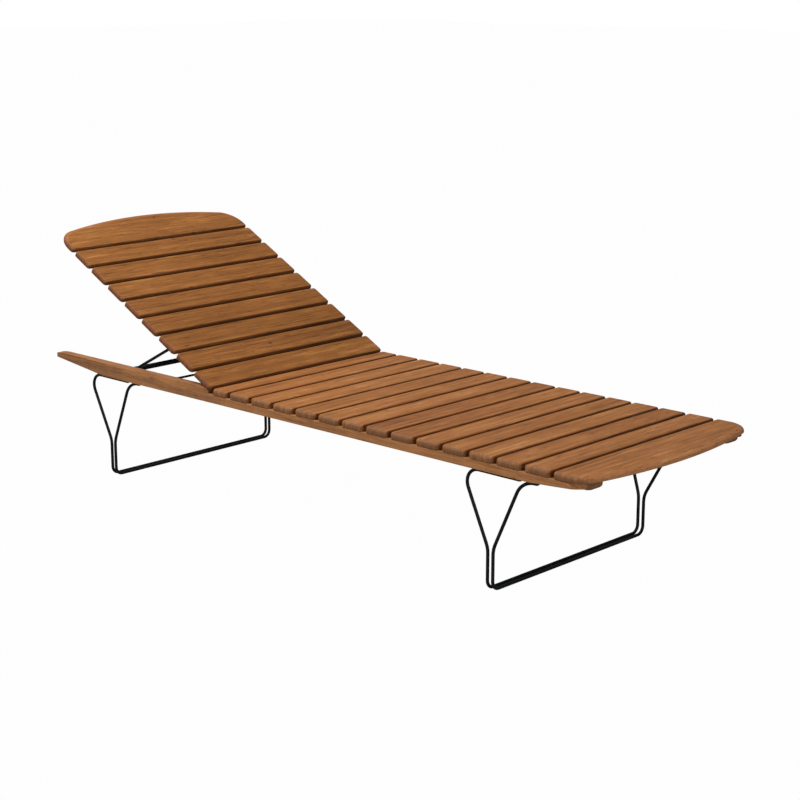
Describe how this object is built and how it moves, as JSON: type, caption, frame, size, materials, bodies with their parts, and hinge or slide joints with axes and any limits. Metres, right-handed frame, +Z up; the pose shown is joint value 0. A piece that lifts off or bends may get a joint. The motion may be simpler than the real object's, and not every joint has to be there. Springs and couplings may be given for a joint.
{
  "type": "sun lounger",
  "caption": "Slatted bamboo sun lounger on bent wire legs, with a hinged backrest held up by a folding prop.",
  "frame": {"origin": "on the floor, under the middle of the lounger's length and width", "axes": "+X to the foot, +Y to the far side, +Z up"},
  "size_m": [1.8986, 0.632, 0.6725],
  "materials": {
    "seat_bamboo": "oiled bamboo with long fine grain",
    "back_bamboo": "oiled bamboo with long fine grain",
    "rail_bamboo": "oiled bamboo with long fine grain",
    "black_steel": "satin black coating"
  },
  "bodies": {
    "frame": {"seat_slat_1": "seat_bamboo", "seat_slat_2": "seat_bamboo", "seat_slat_3": "seat_bamboo", "seat_slat_4": "seat_bamboo", "seat_slat_5": "seat_bamboo", "seat_slat_6": "seat_bamboo", "seat_slat_7": "seat_bamboo", "seat_slat_8": "seat_bamboo", "seat_slat_9": "seat_bamboo", "seat_slat_10": "seat_bamboo", "seat_slat_11": "seat_bamboo", "seat_slat_12": "seat_bamboo", "seat_slat_13": "seat_bamboo", "seat_slat_14": "seat_bamboo", "seat_slat_15": "seat_bamboo", "rail_near": "rail_bamboo", "foot_block_near": "rail_bamboo", "rack_near": "rail_bamboo", "hinge_bolt_near": "black_steel", "hinge_sleeve_near": "black_steel", "rail_far": "rail_bamboo", "foot_block_far": "rail_bamboo", "rack_far": "rail_bamboo", "hinge_bolt_far": "black_steel", "hinge_sleeve_far": "black_steel", "stop_rod": "black_steel", "rear_leg_head_rod": "black_steel", "rear_leg_foot_rod": "black_steel", "front_leg_head_rod": "black_steel", "front_leg_foot_rod": "black_steel"},
    "backrest": {"back_slat_1": "back_bamboo", "back_slat_2": "back_bamboo", "back_slat_3": "back_bamboo", "back_slat_4": "back_bamboo", "back_slat_5": "back_bamboo", "back_slat_6": "back_bamboo", "back_slat_7": "back_bamboo", "back_slat_8": "back_bamboo", "back_slat_9": "back_bamboo", "batten_near": "rail_bamboo", "batten_far": "rail_bamboo"},
    "prop": {"prop_bar": "black_steel", "prop_arm_near": "black_steel", "prop_arm_far": "black_steel"}
  },
  "joints": [
    {"name": "backrest_hinge", "type": "hinge", "parent": "frame", "child": "backrest", "pos_m": [-0.30848, 0, 0.3115], "axis": [0, 1, 0], "range_deg": [-27.9, 22]},
    {"name": "prop_pivot", "type": "hinge", "parent": "backrest", "child": "prop", "pos_m": [-0.47838, 0, 0.40157], "axis": [0, 1, 0], "range_deg": [-44.1, 55.9]}
  ],
  "couplings": [
    {"joint": "prop_pivot", "follows": "backrest_hinge", "ratio": -2}
  ]
}
